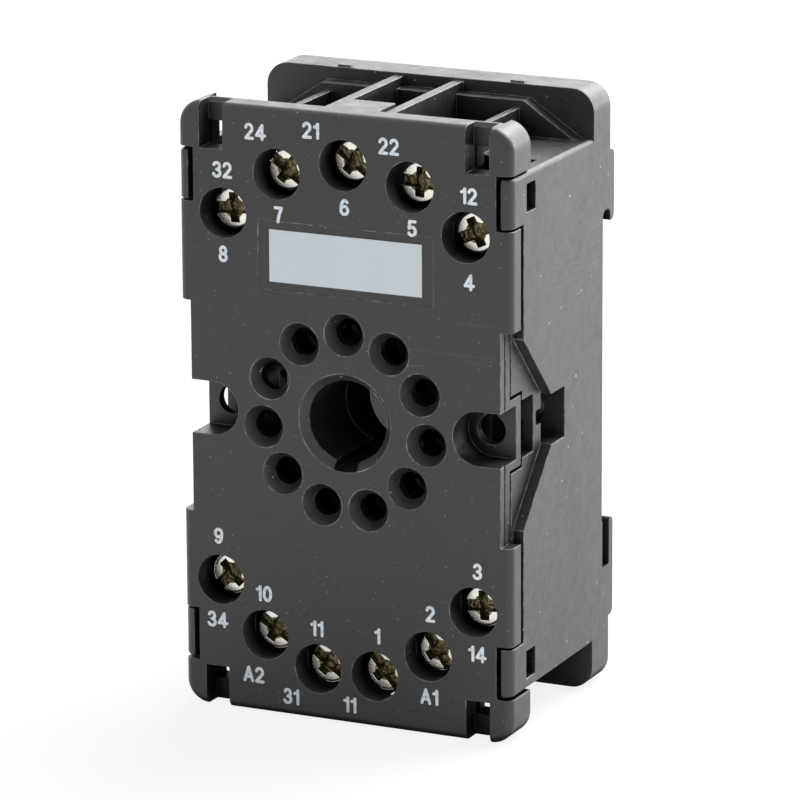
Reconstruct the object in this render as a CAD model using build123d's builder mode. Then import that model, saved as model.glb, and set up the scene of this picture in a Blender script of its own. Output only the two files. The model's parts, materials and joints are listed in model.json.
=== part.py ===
from build123d import *
import os
from math import cos, radians, sin

os.makedirs("parts", exist_ok=True)

# All sizes are in millimetres. Depths are measured back from the face of the cover, and heights
# in sketches are measured from the centre of the contact circle, which is half way up the socket.

# Overall size
body_width = 38.2
body_height = 66.0
body_depth = 27.0
tab_proud = 0.1

# Front cover
cover_plate = 2.4
cover_edge_round = 0.9
corner_radius = 2.6
skirt_wall = 1.5
end_skirt = 3.0
corner_skirt = 4.9
corner_skirt_length = 2.2
skirt_inner_radius = 1.1
waist_inset = 1.25
waist_half_height = 11.5
waist_groove = 0.3
waist_groove_depth = 1.0
tongue_width = 5.4
tongue_depth = 7.3

# Slots for a holding clip at the four corners of the cover, through a block behind the plate
clip_slot_width = 2.7
clip_slot_x = 15.22
top_slot_length = 4.95
bottom_slot_length = 4.5
clip_slot_notch = 2.2
clip_bridge = 2.4
clip_bridge_slope = 0.4
clip_block_wall = 0.8
catch_depth = 0.5
catch_front = 2.6
top_catch_width = 0.4
bottom_catch_width = 1.0

# Contact circle and guide hole
pin_count = 11
pin_circle = 19.05
pin_hole_radius = 1.5
pin_lead_radius = 2.3
pin_lead_angle = 67
guide_radius = 4.45
guide_lead_radius = 5.3
guide_lead_angle = 90
guide_wall = 1.95
guide_tube_depth = 9.5
key_width = 2.6
bulge_radius = 4.8
bulge_reach = 0.9
bulge_angle = 26
bulge_top = 0.5

# Terminals: how far out they spread, as a share of the half width, and how far in from their end
top_terminals = ((0.0, 5.4), (0.398, 7.0), (0.728, 11.7))
bottom_terminals = ((0.173, 5.7), (0.497, 8.7), (0.77, 14.2))
driver_room = 0.4

# Marking field on the cover
field_width = 20.1
field_height = 7.4
field_x = 0.2
field_z = 17.25
field_recess = 0.15
label_width = 17.5
label_height = 5.6
label_thickness = 0.12

# Mounting cups at the sides of the cover
cup_x = 15.3
cup_radius = 2.9
cup_wall = 0.9
cup_depth = 4.0
cup_floor = 1.2
mount_x = 15.0
mount_hole_radius = 1.6
keyhole_width = 1.4
keyhole_height = 2.3

# Snap arms on the cover and the tabs that they hold
tab_inset = 10.5
tab_height = 5.3
tab_gap = 0.25
tab_wrap = 1.2
tab_round = 1.15
tab_side_gap = 0.55
window_rise = 1.1
window_height = 3.0
window_front = 3.85
window_width = 2.3
arm_thickness = 0.85
arm_clearance = 0.25
arm_height = 2.4
nose_reach = 0.35
nose_clearance = 0.15
nose_flat = 0.4

# Base housing
side_wall = 1.5
side_wall_front = 3.1
wall_edge_round = 0.5
floor_depth = 9.8
flange_thickness = 4.7
rail_strip_height = 0.8
flange_radius = 2.5
flange_edge_round = 0.35
nub_width = 1.6
nub_height = 0.2
nub_x = 10.1
guide_well_depth = 17.5
pin_well_depth = 14.0
cutout_front_height = 11.2
cutout_back_height = 2.75
cutout_front_depth = 2.2
cutout_slope_depth = 10.3
cutout_depth = 13.8
inner_wall = 1.2
post_back = 10.4
inner_wall_front = 2.7
inner_wall_half_height = 11.9
inner_window_half_height = 3.1
inner_window_back = 8.4
cup_clearance = 0.35
post_notch_depth = 1.3
post_notch_height = 1.6
tunnel_inner_x = 12.4
mount_back_hole_radius = 1.75

# Ribs between the wire compartments, spread out as shares of the half width like the terminals
rib_front = 2.7
rib_gap = 0.2
tall_rib = 1.15
low_rib = 0.8
tall_rib_inset = 0.3
low_rib_inset = 2.2
top_tall_rib_spread = 0.181
top_low_rib_spread = 0.573
top_tall_rib_start = 16.5
top_low_rib_start = 18.6
bottom_tall_rib_spread = 0.332
bottom_outer_rib_spread = 0.647
bottom_inner_rib_spread = 0.615
bottom_rib_start = 15.2
rib_step_gap = 0.25
ledge_thickness = 1.8
ledge_inset = 1.4
ledge_spread = 0.618

# Rail channel on the back
rail_height = 35.0
rail_play = 0.2
rail_channel_depth = 3.0
rail_top = 19.45
rail_edge_round = 0.7
hook_groove = 2.0
hook_groove_round = 0.8
hook_overlap = 1.4
hook_top = 25.7
foot_groove_depth = 2.8
foot_lip = 1.0
foot_lip_round = 0.4
foot_overlap = 0.9
foot_groove_bottom = 20.0
foot_bottom = 25.8
spring_thickness = 0.3
spring_width = 1.4
spring_side_gap = 0.15
spring_span = 27.0
spring_rise = 4.1

# Contact strips
strip_thickness = 1.0
strip_width = 2.4
contact_outer_radius = 1.7
contact_bore_radius = 1.2
contact_front = 5.4
contact_slit = 0.5
contact_slit_length = 2.6
terminal_side_gap = 0.262
terminal_length = 5.0
collar_radius = 2.0
collar_height = 1.2
collar_clearance = 0.15

# Clamp plates and screws
screw_radius = 1.45
screw_play = 0.06
screw_end = 12.5
screw_travel = 2.2
screw_well_clearance = 0.8
head_overhang = 0.1
head_front = 2.7
head_height = 2.0
head_round = 0.35
slot_width = 1.2
slot_depth = 0.9
cross_width = 1.0
cross_length = 3.2
cross_core_radius = 0.85
cross_depth = 1.4
clamp_gap = 0.05
clamp_thickness = 1.0
clamp_length = 5.0
clamp_lip = 0.6
clamp_lip_gap = 0.05
clamp_corner = 0.4

# Places worked out from the sizes above
half_width = body_width / 2
half_height = body_height / 2
face_y = -body_depth / 2 + tab_proud
foot_back = body_depth - tab_proud
waist_x = half_width - waist_inset
wall_x = half_width - side_wall
recess_x = half_width - tab_wrap - tab_side_gap
tab_low = half_height - tab_inset
tab_high = tab_low + tab_height
window_low = tab_low + window_rise
cup_room = cup_radius + cup_wall + cup_clearance
clip_slot_inner = clip_slot_x - clip_slot_width / 2
clip_slot_outer = clip_slot_x + clip_slot_width / 2
clip_slots = ((1, half_height - top_slot_length), (-1, half_height - bottom_slot_length))
bridge_low = half_height - clip_bridge
guide_tube_radius = guide_radius + guide_wall
hook_tip = rail_top - hook_overlap
foot_tip = rail_height + rail_play - rail_top - foot_overlap
strip_front = floor_depth - strip_thickness
flange_back = foot_back - rail_strip_height
flange_front = flange_back - flange_thickness
ledge_depth = flange_front - ledge_thickness
ledge_height = half_height - ledge_inset
rail_floor = foot_back - rail_channel_depth
foot_groove_front = foot_back - foot_groove_depth
tall_rib_end = half_height - tall_rib_inset
low_rib_end = half_height - low_rib_inset
bottom_tall_rib_x = half_width * bottom_tall_rib_spread
terminal_room = bottom_tall_rib_x - tall_rib / 2 - half_width * bottom_terminals[0][0]
terminal_width = 2 * (terminal_room - terminal_side_gap)
head_radius = terminal_width / 2 + head_overhang
screw_hole_radius = head_radius + driver_room
bottom_rib_step = half_height - bottom_terminals[-1][1] + terminal_length / 2 + rib_step_gap
clamp_front = head_front + head_height + clamp_gap
clamp_lip_width = terminal_width / 2 - screw_radius - clamp_lip_gap


def at_depth(depth):
    """A plane facing forward at a depth: sketch X is the width, sketch Y is the height."""
    return Plane(origin=(0, face_y + depth, half_height), x_dir=(1, 0, 0), z_dir=(0, -1, 0))


def at_side(x):
    """A plane facing right at a place in the width: sketch X is the depth, sketch Y the height."""
    return Plane(origin=(x, face_y, half_height), x_dir=(0, 1, 0), z_dir=(1, 0, 0))


def at_height(height):
    """A level plane: sketch X is the width, sketch Y is the depth."""
    return Plane(origin=(0, face_y, half_height + height), x_dir=(1, 0, 0), z_dir=(0, 0, 1))


def pin_place(number):
    """The contact with this number, counted round from the right of the lowest point."""
    angle = radians(((pin_count + 1) / 2 - number) * 360 / pin_count)
    return (pin_circle / 2 * sin(angle), pin_circle / 2 * cos(angle))


def terminal_place(number):
    """The screw with this number: 1 to 3 go up the right side below, 4 to 6 inwards above."""
    middle = (pin_count + 1) // 2
    if number > middle:
        x, z = terminal_place(pin_count + 1 - number)
        return (-x, z)
    if number <= len(bottom_terminals):
        spread, inset = bottom_terminals[number - 1]
        return (half_width * spread, inset - half_height)
    spread, inset = top_terminals[middle - number]
    return (half_width * spread, half_height - inset)


pins = range(1, pin_count + 1)
pin_places = [pin_place(number) for number in pins]
terminal_places = [terminal_place(number) for number in pins]


def band(x0, x1, z0, z1, mode=Mode.ADD):
    """A rectangle in the open sketch between two places in the width and two heights."""
    with Locations(((x0 + x1) / 2, (z0 + z1) / 2)):
        Rectangle(abs(x1 - x0), abs(z1 - z0), mode=mode)


def cup_shape(radius):
    """The open cup outline on both sides: a half circle that runs out to the waist."""
    for side in (1, -1):
        with Locations((side * cup_x, 0)):
            Circle(radius)
        band(side * cup_x, side * waist_x, -radius, radius)


def key_shape():
    """The keyway outline in the open sketch: a notch down from the middle with a round end."""
    band(-key_width / 2, key_width / 2, -guide_lead_radius, 0)
    Circle(guide_lead_radius, mode=Mode.INTERSECT)


# Front cover: a plate with a short skirt, cups, guide tube and snap arms
with BuildPart() as cover:
    with BuildSketch(at_depth(corner_skirt)):
        RectangleRounded(body_width, body_height, corner_radius)
    extrude(amount=corner_skirt)
    fillet(cover.faces().sort_by(Axis.Y)[0].edges(), cover_edge_round)
    with BuildSketch(at_depth(corner_skirt)):
        RectangleRounded(body_width - 2 * skirt_wall, body_height - 2 * skirt_wall, skirt_inner_radius)
        for side in (1, -1):
            for end, slot_low in clip_slots:
                band(side * (clip_slot_inner - clip_block_wall), side * half_width,
                     end * slot_low, end * half_height, mode=Mode.SUBTRACT)
    extrude(amount=corner_skirt - cover_plate, mode=Mode.SUBTRACT)
    with BuildSketch(at_depth(corner_skirt)):
        for end in (1, -1):
            band(corner_skirt_length - half_width, half_width - corner_skirt_length,
                 end * (half_height - skirt_wall), end * half_height)
    extrude(amount=corner_skirt - end_skirt, mode=Mode.SUBTRACT)
    with BuildSketch(at_depth(corner_skirt)):
        Rectangle(body_width, 2 * (tab_high + tab_gap))
    extrude(amount=corner_skirt - cover_plate, mode=Mode.SUBTRACT)

    # Clip slots: through to the bridge at the end, in front of it open at the end, and with a catch
    # groove in both side walls
    with BuildSketch(at_depth(clip_slot_notch)):
        for side in (1, -1):
            for end, slot_low in clip_slots:
                band(side * clip_slot_inner, side * clip_slot_outer, end * slot_low, end * body_height)
    extrude(amount=2 * cover_plate, mode=Mode.SUBTRACT)
    with BuildSketch(at_depth(corner_skirt)):
        for side in (1, -1):
            for end, slot_low in clip_slots:
                band(side * clip_slot_inner, side * clip_slot_outer, end * slot_low, end * bridge_low)
    extrude(amount=corner_skirt, mode=Mode.SUBTRACT)
    for (end, slot_low), catch_width in zip(clip_slots, (top_catch_width, bottom_catch_width)):
        with BuildSketch(at_depth(catch_front + catch_width)):
            for side in (1, -1):
                band(side * (clip_slot_inner - catch_depth), side * (clip_slot_outer + catch_depth),
                     end * slot_low, end * bridge_low)
        extrude(amount=catch_width, mode=Mode.SUBTRACT)
    for side in (1, -1):
        with BuildSketch(at_side(side * clip_slot_inner)):
            for end in (1, -1):
                with BuildLine():
                    Polyline(
                        (clip_slot_notch, end * half_height),
                        (clip_slot_notch + clip_bridge_slope, end * half_height),
                        (clip_slot_notch, end * (half_height - clip_bridge_slope)),
                        close=True,
                    )
                make_face()
        extrude(amount=side * clip_slot_width, mode=Mode.SUBTRACT)

    # Tongue over the middle top compartment
    with BuildSketch(at_depth(tongue_depth)):
        band(-tongue_width / 2, tongue_width / 2, half_height - skirt_wall, half_height)
    extrude(amount=tongue_depth - cover_plate)

    # Guide tube and mounting cups behind the plate
    with BuildSketch(at_depth(guide_tube_depth)):
        Circle(guide_tube_radius)
    extrude(amount=guide_tube_depth - cover_plate / 2)
    with BuildSketch(at_depth(cup_depth + cup_floor)):
        cup_shape(cup_radius + cup_wall)
    extrude(amount=cup_depth + cup_floor - cover_plate / 2)
    with BuildSketch(at_depth(cup_depth)):
        cup_shape(cup_radius)
    extrude(amount=cup_depth + cover_plate, mode=Mode.SUBTRACT)
    with BuildSketch(at_depth(cup_depth + cup_floor)):
        for side in (1, -1):
            with Locations((side * mount_x, 0)):
                Circle(mount_hole_radius)
            band(side * mount_x - keyhole_width / 2, side * mount_x + keyhole_width / 2, 0, keyhole_height)
    extrude(amount=2 * cup_floor, mode=Mode.SUBTRACT)

    # Waist that trims the cups, its parting groove, and the recesses for the tabs
    with BuildSketch(at_depth(corner_skirt + cup_floor)):
        for side in (1, -1):
            band(side * waist_x, side * body_width, -waist_half_height, waist_half_height)
    extrude(amount=2 * corner_skirt, mode=Mode.SUBTRACT)
    with BuildSketch(at_depth(cover_plate)):
        for side in (1, -1):
            for end in (1, -1):
                band(side * recess_x, side * body_width, end * (tab_low - tab_gap), end * (tab_high + tab_gap))
    extrude(amount=2 * cover_plate, mode=Mode.SUBTRACT)
    with BuildSketch(at_depth(waist_groove_depth + waist_groove)):
        for side in (1, -1):
            band(side * (waist_x - waist_groove), side * body_width, -waist_half_height, waist_half_height)
    extrude(amount=waist_groove, mode=Mode.SUBTRACT)

    # Snap arms with noses that stand in the windows of the base
    arm_x = wall_x - arm_clearance
    arm_back = window_front + window_width - nose_clearance
    arm_middle = window_low + window_height / 2
    for side in (1, -1):
        for end in (1, -1):
            with BuildSketch(at_depth(arm_back)):
                band(side * (arm_x - arm_thickness), side * arm_x,
                     end * arm_middle - arm_height / 2, end * arm_middle + arm_height / 2)
            extrude(amount=arm_back - cover_plate / 2)
            with BuildSketch(at_height(end * arm_middle - arm_height / 2)):
                with BuildLine():
                    Polyline(
                        (side * (arm_x - arm_thickness / 2), window_front + nose_clearance),
                        (side * (wall_x + nose_reach), window_front + nose_clearance),
                        (side * (wall_x + nose_reach), window_front + nose_clearance + nose_flat),
                        (side * (arm_x - arm_thickness / 2), arm_back),
                        close=True,
                    )
                make_face()
            extrude(amount=arm_height)

    # Holes for the relay pins, the guide post and the screwdriver
    with Locations(at_depth(0)):
        with Locations(*pin_places):
            CounterSinkHole(pin_hole_radius, pin_lead_radius, cover_plate, pin_lead_angle)
        with Locations(*terminal_places):
            Hole(screw_hole_radius, cover_plate)
        CounterSinkHole(guide_radius, guide_lead_radius, guide_tube_depth, guide_lead_angle)
    with BuildSketch(at_depth(guide_tube_depth)):
        key_shape()
    extrude(amount=2 * guide_tube_depth, mode=Mode.SUBTRACT)
    with BuildSketch(at_depth(guide_tube_depth)):
        with PolarLocations(guide_radius - bulge_reach + bulge_radius, 1, bulge_angle):
            Circle(bulge_radius)
        Circle(guide_lead_radius, mode=Mode.INTERSECT)
    extrude(amount=guide_tube_depth - bulge_top)

    # Shallow field for the marking label
    with BuildSketch(at_depth(field_recess)):
        with Locations((field_x, field_z)):
            Rectangle(field_width, field_height)
    extrude(amount=cover_plate, mode=Mode.SUBTRACT)
cover.part.label = "front_cover"
export_step(cover.part, "parts/front_cover.step")


# Marking label, stuck in the field of the cover
with BuildPart() as label:
    with BuildSketch(at_depth(field_recess)):
        with Locations((field_x, field_z)):
            Rectangle(label_width, label_height)
    extrude(amount=label_thickness)
label.part.label = "marking_label"
export_step(label.part, "parts/marking_label.step")


def rib(x, thickness, start, stop):
    """The outline of one rib in the open sketch, from its inner end to its outer end."""
    band(x - thickness / 2, x + thickness / 2, start, stop)


# Base housing: floor block, side walls with tabs, ribs, flange and rail channel
with BuildPart() as base:
    with BuildSketch(at_depth(flange_front)):
        Rectangle(body_width, 2 * tab_high)
    extrude(amount=flange_front - floor_depth)
    with BuildSketch(at_depth(floor_depth)):
        for side in (1, -1):
            band(side * wall_x, side * half_width, -tab_high, tab_high)
    extrude(amount=floor_depth - side_wall_front)

    # Tabs that wrap round the edge of the cover
    with BuildSketch(at_depth(side_wall_front)):
        for side in (1, -1):
            for end in (1, -1):
                band(side * (half_width - tab_wrap), side * half_width, end * tab_low, end * tab_high)
    extrude(amount=side_wall_front + tab_proud)
    side_edges = base.edges().filter_by(lambda edge: abs(abs(edge.center().X) - half_width) < tab_proud)
    fillet(side_edges.filter_by(Axis.Z).group_by(Axis.Y)[0], tab_round)
    side_edges = base.edges().filter_by(Axis.Y).filter_by(
        lambda edge: abs(abs(edge.center().X) - half_width) < tab_proud and edge.length > floor_depth)
    fillet(side_edges, wall_edge_round)

    # Flange with rounded corners and a soft back edge
    with BuildSketch(at_depth(flange_back)):
        RectangleRounded(body_width, body_height, flange_radius)
    extrude(amount=flange_back - flange_front)
    fillet(base.faces().sort_by(Axis.Y)[-1].edges(), flange_edge_round)
    with BuildSketch(at_height(half_height)):
        for side in (1, -1):
            with Locations((side * nub_x, flange_front + nub_width / 2)):
                Rectangle(nub_width, nub_width / 2)
    extrude(amount=nub_height)

    # Ribs of the wire compartments; the tall ones step back behind the skirt of the cover
    skirt_edge = half_height - skirt_wall - rib_gap
    with BuildSketch(at_depth(flange_front)):
        rib(0, low_rib, -bottom_rib_start, -skirt_edge)
        for side in (half_width, -half_width):
            rib(side * top_tall_rib_spread, tall_rib, top_tall_rib_start, skirt_edge)
            rib(side * top_low_rib_spread, low_rib, top_low_rib_start, low_rib_end)
            rib(side * bottom_tall_rib_spread, tall_rib, -bottom_rib_start, -skirt_edge)
            rib(side * bottom_inner_rib_spread, low_rib, -bottom_rib_start, -bottom_rib_step)
            rib(side * bottom_outer_rib_spread, low_rib, -bottom_rib_step, -low_rib_end)
    extrude(amount=flange_front - rib_front)
    with BuildSketch(at_depth(flange_front)):
        rib(0, low_rib, -skirt_edge, -tall_rib_end)
        for side in (half_width, -half_width):
            rib(side * top_tall_rib_spread, tall_rib, skirt_edge, tall_rib_end)
            rib(side * bottom_tall_rib_spread, tall_rib, -skirt_edge, -tall_rib_end)
    extrude(amount=flange_front - end_skirt - rib_gap)

    # Sloped ledges at the back of the compartments
    for end in (1, -1):
        with BuildSketch(at_depth(flange_front)):
            with BuildLine():
                Polyline(
                    (-wall_x, end * tab_high),
                    (-half_width * ledge_spread, end * ledge_height),
                    (half_width * ledge_spread, end * ledge_height),
                    (wall_x, end * tab_high),
                    close=True,
                )
            make_face()
        extrude(amount=flange_front - ledge_depth)

    # Walls beside the mounting cups, seen through the cut-outs of the sides
    with BuildSketch(at_depth(floor_depth)):
        for side in (1, -1):
            band(side * (waist_x - inner_wall), side * waist_x, -inner_wall_half_height, inner_wall_half_height)
    extrude(amount=floor_depth - inner_wall_front)
    with BuildSketch(at_depth(cup_depth + cup_floor + cup_clearance)):
        for side in (1, -1):
            band(side * tunnel_inner_x, side * body_width, -cup_room, cup_room)
    extrude(amount=floor_depth, mode=Mode.SUBTRACT)
    with BuildSketch(at_depth(inner_window_back)):
        for side in (1, -1):
            band(side * tunnel_inner_x, side * body_width, -inner_window_half_height, inner_window_half_height)
    extrude(amount=floor_depth, mode=Mode.SUBTRACT)

    # Cut-outs of the side walls: sloped towards a square opening
    for side in (1, -1):
        with BuildSketch(at_side(side * waist_x)):
            with BuildLine():
                Polyline(
                    (0, cutout_front_height),
                    (cutout_front_depth, cutout_front_height),
                    (cutout_slope_depth, cutout_back_height),
                    (cutout_depth, cutout_back_height),
                    (cutout_depth, -cutout_back_height),
                    (cutout_slope_depth, -cutout_back_height),
                    (cutout_front_depth, -cutout_front_height),
                    (0, -cutout_front_height),
                    close=True,
                )
            make_face()
        extrude(amount=side * body_width, mode=Mode.SUBTRACT)

    # Tunnels for the panel screws, with the notch in the post beside each
    with BuildSketch(at_depth(cutout_depth)):
        for side in (1, -1):
            band(side * tunnel_inner_x, side * (waist_x - inner_wall), -inner_window_half_height,
                 inner_window_half_height)
    extrude(amount=cutout_depth - inner_window_back, mode=Mode.SUBTRACT)
    with BuildSketch(at_depth(cutout_depth)):
        for side in (1, -1):
            band(side * tunnel_inner_x, side * body_width, -cutout_back_height, cutout_back_height)
    extrude(amount=cutout_depth - post_back, mode=Mode.SUBTRACT)
    with BuildSketch(at_depth(post_back)):
        for side in (1, -1):
            band(side * tunnel_inner_x, side * body_width, -post_notch_height / 3, post_notch_height * 2 / 3)
    extrude(amount=post_notch_depth, mode=Mode.SUBTRACT)
    with Locations(at_depth(cutout_depth)):
        with Locations((mount_x, 0), (-mount_x, 0)):
            Hole(mount_back_hole_radius, flange_back - cutout_depth)

    # Windows for the noses of the cover
    for side in (1, -1):
        with BuildSketch(at_side(side * (wall_x - side_wall))):
            for end in (1, -1):
                band(window_front, window_front + window_width,
                     end * window_low, end * (window_low + window_height))
        extrude(amount=side * 2 * body_width, mode=Mode.SUBTRACT)

    # Wells for the guide post, the pins, the screws and their collars
    with Locations(at_depth(floor_depth)):
        Hole(guide_radius, guide_well_depth - floor_depth)
        with Locations(*pin_places):
            Hole(pin_hole_radius, pin_well_depth - floor_depth)
        with Locations(*terminal_places):
            CounterBoreHole(
                screw_radius + 2 * collar_clearance, collar_radius + collar_clearance,
                collar_height + collar_clearance,
                screw_end + screw_travel + screw_well_clearance - floor_depth)

    with BuildSketch(at_depth(guide_well_depth)):
        key_shape()
    extrude(amount=guide_well_depth - floor_depth, mode=Mode.SUBTRACT)

    # Rail channel in side view: a hook above, a lip and groove below, and the space for the rail
    with BuildSketch(at_side(-half_width)):
        band(rail_floor, foot_back, hook_tip, hook_top)
        band(rail_floor, foot_back, -foot_bottom, -foot_tip)
        fillet(vertices().group_by(Axis.X)[-1], rail_edge_round)
    extrude(amount=body_width)
    with BuildSketch(at_side(-body_width)):
        band(rail_floor, body_depth, -foot_tip, hook_tip)
        band(rail_floor, rail_floor + hook_groove, 0, rail_top)
        band(foot_groove_front, foot_back - foot_lip, -foot_groove_bottom, 0)
        fillet(vertices().group_by(Axis.Y)[-1], hook_groove_round)
        fillet(vertices().filter_by(lambda corner: abs(corner.Y + foot_tip) < tab_proud).sort_by(Axis.X)[-2],
               foot_lip_round)
    extrude(amount=2 * body_width, mode=Mode.SUBTRACT)
base.part.label = "base_housing"
export_step(base.part, "parts/base_housing.step")


# Rail spring: a bowed leaf that lies in the lower groove and presses up on the rail
with BuildPart() as spring:
    with BuildSketch(at_depth(foot_groove_front + spring_side_gap + spring_width)):
        with BuildLine():
            ends = -foot_groove_bottom
            top = ends + spring_rise
            outer = ThreePointArc((-spring_span / 2, ends + spring_thickness), (0, top),
                                  (spring_span / 2, ends + spring_thickness))
            inner = ThreePointArc((-spring_span / 2, ends), (0, top - spring_thickness), (spring_span / 2, ends))
            Line(outer @ 0, inner @ 0)
            Line(outer @ 1, inner @ 1)
        make_face()
    extrude(amount=spring_width)
spring.part.label = "rail_spring"
export_step(spring.part, "parts/rail_spring.step")


def make_strip(number):
    """One contact strip: a slit tube for the pin, a flat arm and a plate with a threaded collar."""
    pin = Vector(*pin_places[number - 1])
    screw = Vector(*terminal_places[number - 1])
    run = screw - pin
    middle = (pin + screw) * 0.5
    turn = Vector(1, 0, 0).get_signed_angle(run, Vector(0, 0, 1))
    with BuildPart() as strip:
        with BuildSketch(at_depth(floor_depth)):
            with Locations(Location((middle.X, middle.Y), turn)):
                Rectangle(run.length, strip_width)
            with Locations((pin.X, pin.Y)):
                Circle(contact_outer_radius)
            with Locations((screw.X, screw.Y)):
                Rectangle(terminal_width, terminal_length)
        extrude(amount=strip_thickness)
        with BuildSketch(at_depth(strip_front)):
            with Locations((pin.X, pin.Y)):
                Circle(contact_outer_radius)
        extrude(amount=strip_front - contact_front)
        with BuildSketch(at_depth(floor_depth + collar_height)):
            with Locations((screw.X, screw.Y)):
                Circle(collar_radius)
        extrude(amount=collar_height)
        with Locations(at_depth(contact_front)):
            with Locations((pin.X, pin.Y)):
                Hole(contact_bore_radius, floor_depth - contact_front)
            with Locations((screw.X, screw.Y)):
                Hole(screw_radius + screw_play, floor_depth + collar_height - contact_front)
        with BuildSketch(at_depth(contact_front + contact_slit_length)):
            with Locations(Location((pin.X, pin.Y), turn)):
                Rectangle(contact_slit, 3 * contact_outer_radius)
        extrude(amount=contact_slit_length, mode=Mode.SUBTRACT)
    strip.part.label = f"contact_strip_{number:02d}"
    return strip.part


def make_clamp(number):
    """One clamp plate, open to its full gap, with two turned-in lips."""
    x, z = terminal_places[number - 1]
    clamp_back = clamp_front + clamp_thickness
    with BuildPart() as clamp:
        with BuildSketch(at_depth(clamp_back)):
            with Locations((x, z)):
                Rectangle(terminal_width, clamp_length)
        extrude(amount=clamp_thickness)
        fillet(clamp.edges().filter_by(Axis.Y), clamp_corner)
        with BuildSketch(at_depth(clamp_back + clamp_lip)):
            for side in (1, -1):
                with Locations((x + side * (terminal_width - clamp_lip_width) / 2, z)):
                    Rectangle(clamp_lip_width, clamp_length - 2 * clamp_corner)
        extrude(amount=clamp_lip)
        with Locations(at_depth(clamp_front)):
            with Locations((x, z)):
                Hole(screw_radius + screw_play, clamp_thickness)
    clamp.part.label = f"clamp_plate_{number:02d}"
    return clamp.part


# Direction of each screw slot, in degrees up from level, for terminals 1 to 11
slot_angles = (-50, -55, 4, 25, -4, -35, -35, 4, 45, -30, -35)


def make_screw(number):
    """One screw: a low head with a slot and a cross, and a plain shank in place of the thread."""
    x, z = terminal_places[number - 1]
    turn = slot_angles[(number - 1) % len(slot_angles)]
    with BuildPart() as screw:
        with BuildSketch(at_depth(head_front + head_height)):
            with Locations((x, z)):
                Circle(head_radius)
        extrude(amount=head_height)
        fillet(screw.edges().sort_by(Axis.Y)[0], head_round)
        with BuildSketch(at_depth(screw_end)):
            with Locations((x, z)):
                Circle(screw_radius)
        extrude(amount=screw_end - head_front - head_height)
        with BuildSketch(at_depth(head_front + slot_depth)):
            with Locations(Location((x, z), turn)):
                Rectangle(3 * head_radius, slot_width)
        extrude(amount=slot_depth, mode=Mode.SUBTRACT)
        with BuildSketch(at_depth(head_front + cross_depth)):
            with Locations(Location((x, z), turn)):
                Rectangle(cross_width, cross_length)
                Circle(cross_core_radius)
        extrude(amount=cross_depth, mode=Mode.SUBTRACT)
    screw.part.label = f"terminal_screw_{number:02d}"
    return screw.part


# One strip, clamp and screw for every terminal
for number in pins:
    for piece in (make_strip(number), make_clamp(number), make_screw(number)):
        export_step(piece, f"parts/{piece.label}.step")
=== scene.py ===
"""Dresses the screw terminal socket: soft moulded edges, printed numbers, plastics, metals and the stage."""

import json
import math

import bmesh
import bpy
import numpy as np
from mathutils import Matrix, Vector


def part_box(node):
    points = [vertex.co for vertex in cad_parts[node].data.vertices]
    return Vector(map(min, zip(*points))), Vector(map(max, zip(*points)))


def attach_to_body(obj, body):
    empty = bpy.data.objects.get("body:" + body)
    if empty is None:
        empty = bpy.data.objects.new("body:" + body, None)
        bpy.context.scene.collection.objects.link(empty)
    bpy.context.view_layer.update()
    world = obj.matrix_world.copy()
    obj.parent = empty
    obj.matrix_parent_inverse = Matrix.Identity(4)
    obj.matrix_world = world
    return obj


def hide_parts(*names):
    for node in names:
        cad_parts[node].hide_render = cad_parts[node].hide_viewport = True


bl_info = {
    "name": "Screw Terminal Socket",
    "version": (1, 0, 0),
    "blender": (4, 5, 0),
    "location": "3D View > Sidebar > Socket",
    "description": "Finishes the mouldings, contacts, screws and printing of a plug-in socket",
    "category": "Object",
}

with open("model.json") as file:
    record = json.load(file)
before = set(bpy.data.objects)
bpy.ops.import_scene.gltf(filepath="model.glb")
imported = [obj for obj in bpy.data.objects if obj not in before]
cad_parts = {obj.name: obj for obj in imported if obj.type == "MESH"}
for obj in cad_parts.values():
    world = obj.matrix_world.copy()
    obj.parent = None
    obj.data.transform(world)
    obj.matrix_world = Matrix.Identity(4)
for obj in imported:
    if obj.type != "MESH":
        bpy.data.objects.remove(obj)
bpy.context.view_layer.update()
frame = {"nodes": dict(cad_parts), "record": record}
MM = 0.001
TERMINALS = [f"{number:02d}" for number in range(1, 12)]
COVER_LOW, COVER_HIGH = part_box("front_cover")
MIDDLE_HEIGHT = (COVER_LOW.z + COVER_HIGH.z) / 2
FLANGE_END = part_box("base_housing")[1].x

# Corners of a CAD mesh closer than this are one, and faces that turn less than this are one flat face
MERGE_GAP = 2e-6
FLAT_ANGLE = math.radians(0.4)

# How strongly the normals follow the large faces, out of 100
FACE_WEIGHT = 100

# The dark matt shade of places that walls close in, and the most of a finish that it covers
DEEP_SHADE = (0.006, 0.006, 0.006, 1.0)
DEEPEST_COVER = 0.92

# Corners of the disc that ends a printed stroke, and the degrees between two points of a curved one
DISC_CORNERS = 14
BOW_STEP = 12

# Printed numbers: figures, and the place of their middle from the middle of the cover, in millimetres
PRINTED = (
    ("24", -10.0, 30.3), ("21", -3.6, 31.0), ("22", 5.3, 30.1), ("12", 14.3, 25.7), ("32", -13.9, 25.9),
    ("8", -13.9, 16.9), ("7", -7.4, 21.7), ("6", 0.2, 23.2), ("5", 7.9, 21.7), ("4", 14.35, 16.6),
    ("9", -14.9, -14.0), ("10", -9.6, -19.75), ("11", -3.4, -22.85), ("1", 3.65, -22.8), ("2", 9.8, -19.6),
    ("3", 15.2, -14.3), ("34", -15.1, -23.3), ("A2", -10.9, -28.9), ("31", -6.5, -30.8), ("11", 0.4, -30.8),
    ("A1", 9.65, -28.7), ("14", 15.2, -23.3),
)

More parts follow.
